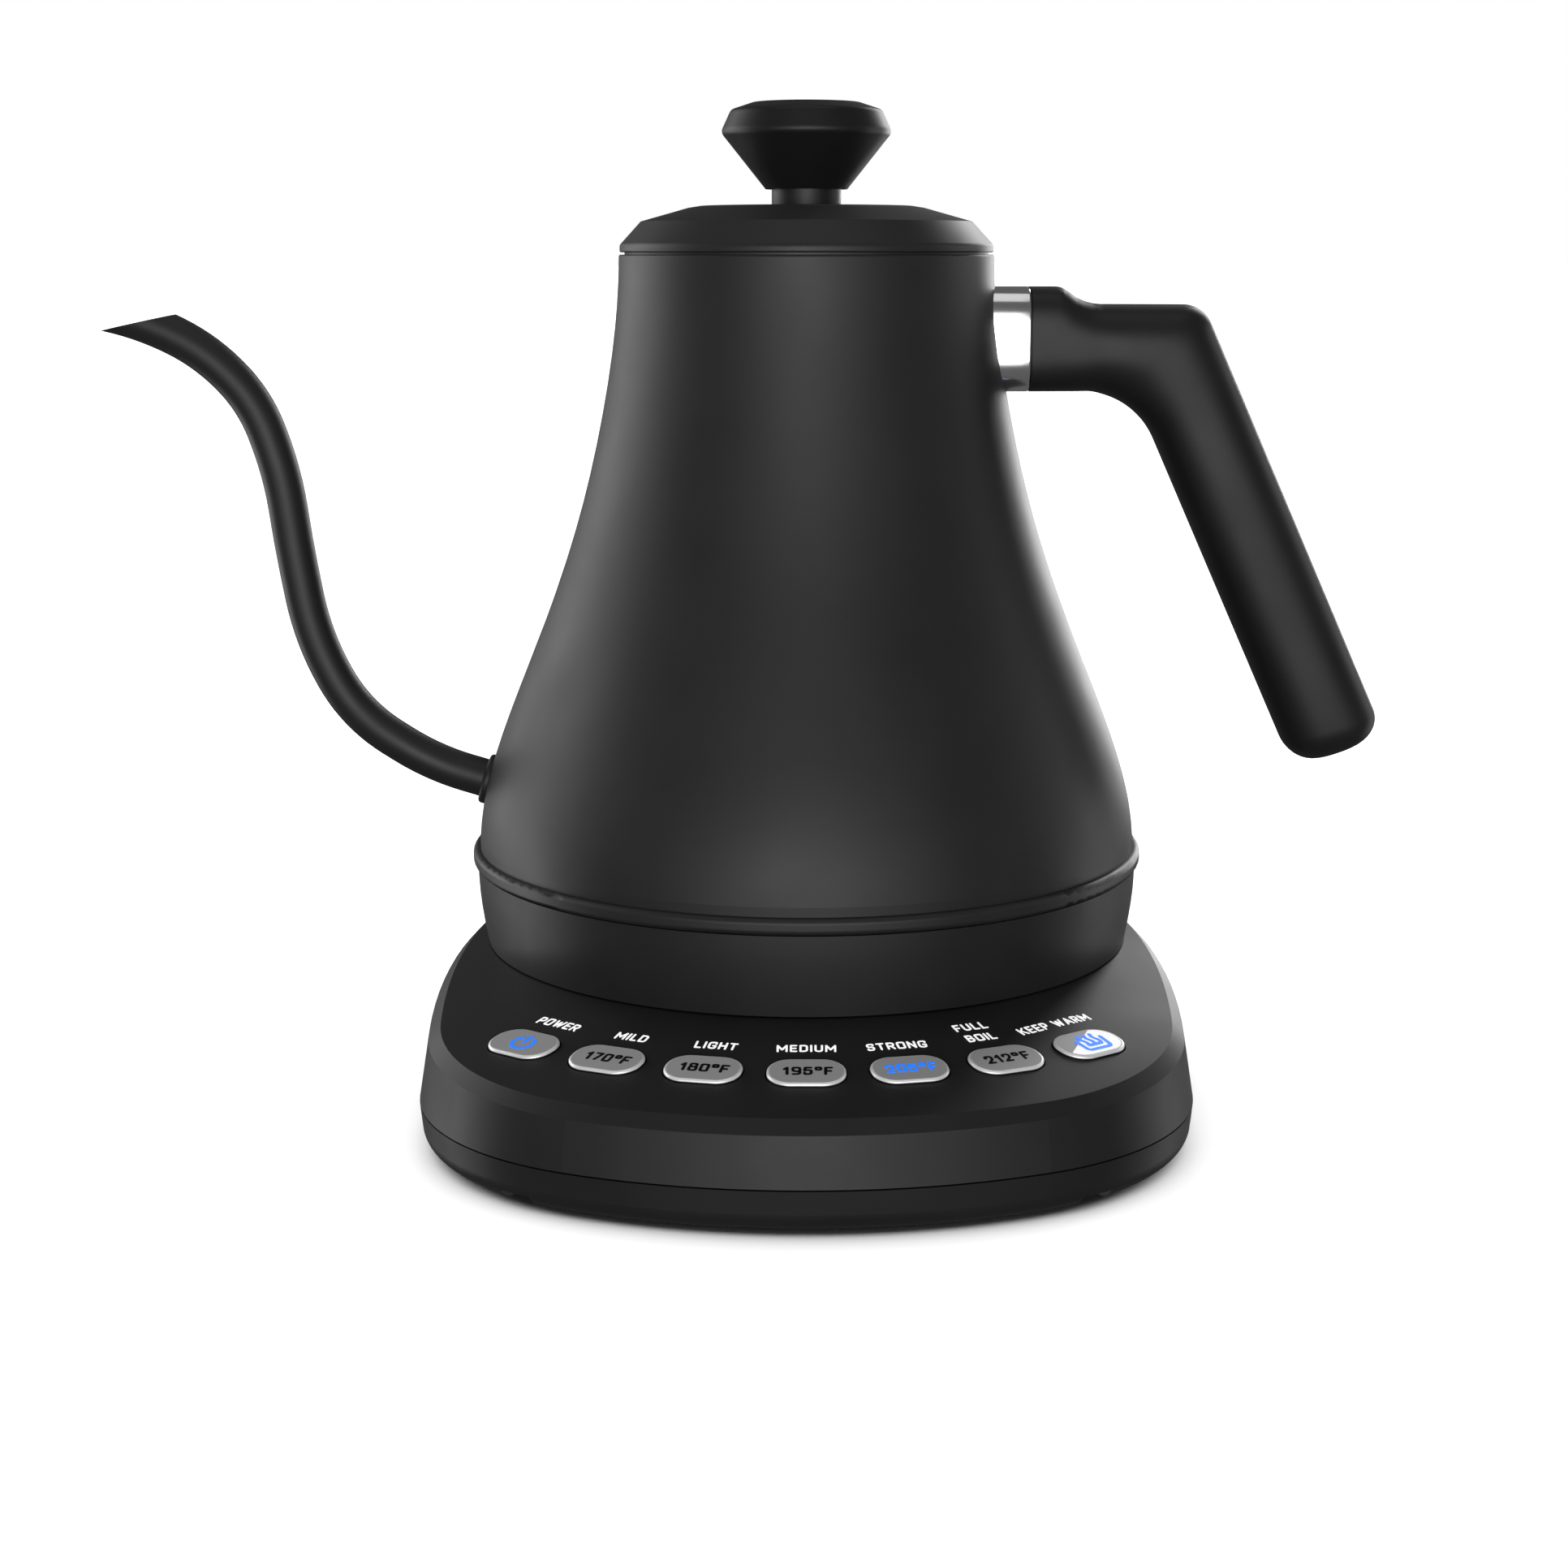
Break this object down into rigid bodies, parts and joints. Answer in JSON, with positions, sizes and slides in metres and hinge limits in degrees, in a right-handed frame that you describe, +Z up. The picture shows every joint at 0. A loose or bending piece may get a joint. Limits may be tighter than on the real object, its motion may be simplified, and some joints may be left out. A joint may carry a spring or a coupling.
{
  "type": "gooseneck kettle",
  "caption": "Matt black electric gooseneck kettle with a slim S-shaped spout, angled handle and knobbed lid, on a powered base with a row of temperature buttons.",
  "frame": {"origin": "on the table under the kettle's vertical axis, at the middle of the base's centre foot", "axes": "+Z up along the kettle's axis, +X towards the handle, -X towards the spout, -Y towards the button panel"},
  "size_m": [0.292, 0.2045, 0.2215],
  "materials": {
    "aluminium": "plain aluminium",
    "black_coat": "powder-coated steel, matt charcoal black",
    "board_green": "circuit board with green mask",
    "brass": "bright brass contacts",
    "button_satin": "satin silver-grey caps with bright edges",
    "component_black": "black component cases",
    "component_light": "pale component cases",
    "coupler_plastic": "glass-filled black plastic",
    "element_sheath": "heat-tinted sheath",
    "grip_plastic": "soft-touch black plastic",
    "housing_plastic": "fine-textured black moulded plastic",
    "knob_plastic": "black plastic knob, satin",
    "polished_steel": "polished stainless steel",
    "rubber": "matt black rubber",
    "screw_steel": "plated steel screws",
    "silicone": "translucent grey silicone",
    "stainless": "brushed stainless steel"
  },
  "bodies": {
    "base": {"base_top_housing": "housing_plastic", "base_bottom_cover": "housing_plastic", "rubber_feet": "rubber", "base_screws": "screw_steel", "base_coupler": "coupler_plastic", "coupler_contacts": "brass", "control_board": "board_green", "board_screws": "screw_steel", "tact_switches": "component_black", "indicator_lights": "component_light", "buzzer": "component_black", "power_board": "board_green", "transformer": "component_black", "power_relay": "component_light", "terminal_block": "component_light", "capacitor": "component_black", "ribbon_cable": "component_light", "cord_gland": "rubber"},
    "swivel": {"contact_ring": "brass"},
    "kettle": {"kettle_shell": "black_coat", "spout_tube": "black_coat", "spout_collar": "black_coat", "collar_ring": "black_coat", "bottom_skirt": "housing_plastic", "heater_plate": "stainless", "heat_diffuser": "aluminium", "heating_element": "element_sheath", "kettle_coupler": "coupler_plastic", "temperature_probe": "polished_steel", "probe_seal": "silicone", "thermal_fuses": "component_light", "kettle_bottom_cover": "housing_plastic", "kettle_cover_screws": "screw_steel", "handle_bracket": "stainless", "handle_ferrule": "polished_steel", "handle_grip": "grip_plastic", "handle_screw": "screw_steel"},
    "lid": {"lid_cover": "black_coat", "lid_plug": "stainless", "lid_seal": "silicone", "knob_stem": "knob_plastic", "lid_knob": "knob_plastic", "knob_screw": "screw_steel"},
    "button_power": {"button_power": "button_satin"},
    "button_170": {"button_170": "button_satin"},
    "button_180": {"button_180": "button_satin"},
    "button_195": {"button_195": "button_satin"},
    "button_205": {"button_205": "button_satin"},
    "button_212": {"button_212": "button_satin"},
    "button_keep_warm": {"button_keep_warm": "button_satin"}
  },
  "joints": [
    {"name": "kettle_lift", "type": "slide", "parent": "base", "child": "swivel", "axis": [0, 0, 1], "range_m": [0, 0.08]},
    {"name": "kettle_swivel", "type": "hinge", "parent": "swivel", "child": "kettle", "pos_m": [0, 0, 0.04], "axis": [0, 0, 1], "continuous": true},
    {"name": "lid_lift", "type": "slide", "parent": "kettle", "child": "lid", "axis": [0, 0, 1], "range_m": [0, 0.06]},
    {"name": "button_power_press", "type": "slide", "parent": "base", "child": "button_power", "axis": [0.1117, 0.1504, -0.9823], "range_m": [0, 0.0008], "stiffness_N_per_m": 1500},
    {"name": "button_170_press", "type": "slide", "parent": "base", "child": "button_170", "axis": [0.0774, 0.1706, -0.9823], "range_m": [0, 0.0008], "stiffness_N_per_m": 1500},
    {"name": "button_180_press", "type": "slide", "parent": "base", "child": "button_180", "axis": [0.0396, 0.1831, -0.9823], "range_m": [0, 0.0008], "stiffness_N_per_m": 1500},
    {"name": "button_195_press", "type": "slide", "parent": "base", "child": "button_195", "axis": [0, 0.1874, -0.9823], "range_m": [0, 0.0008], "stiffness_N_per_m": 1500},
    {"name": "button_205_press", "type": "slide", "parent": "base", "child": "button_205", "axis": [-0.0396, 0.1831, -0.9823], "range_m": [0, 0.0008], "stiffness_N_per_m": 1500},
    {"name": "button_212_press", "type": "slide", "parent": "base", "child": "button_212", "axis": [-0.0774, 0.1706, -0.9823], "range_m": [0, 0.0008], "stiffness_N_per_m": 1500},
    {"name": "button_keep_warm_press", "type": "slide", "parent": "base", "child": "button_keep_warm", "axis": [-0.1117, 0.1504, -0.9823], "range_m": [0, 0.0008], "stiffness_N_per_m": 1500}
  ]
}
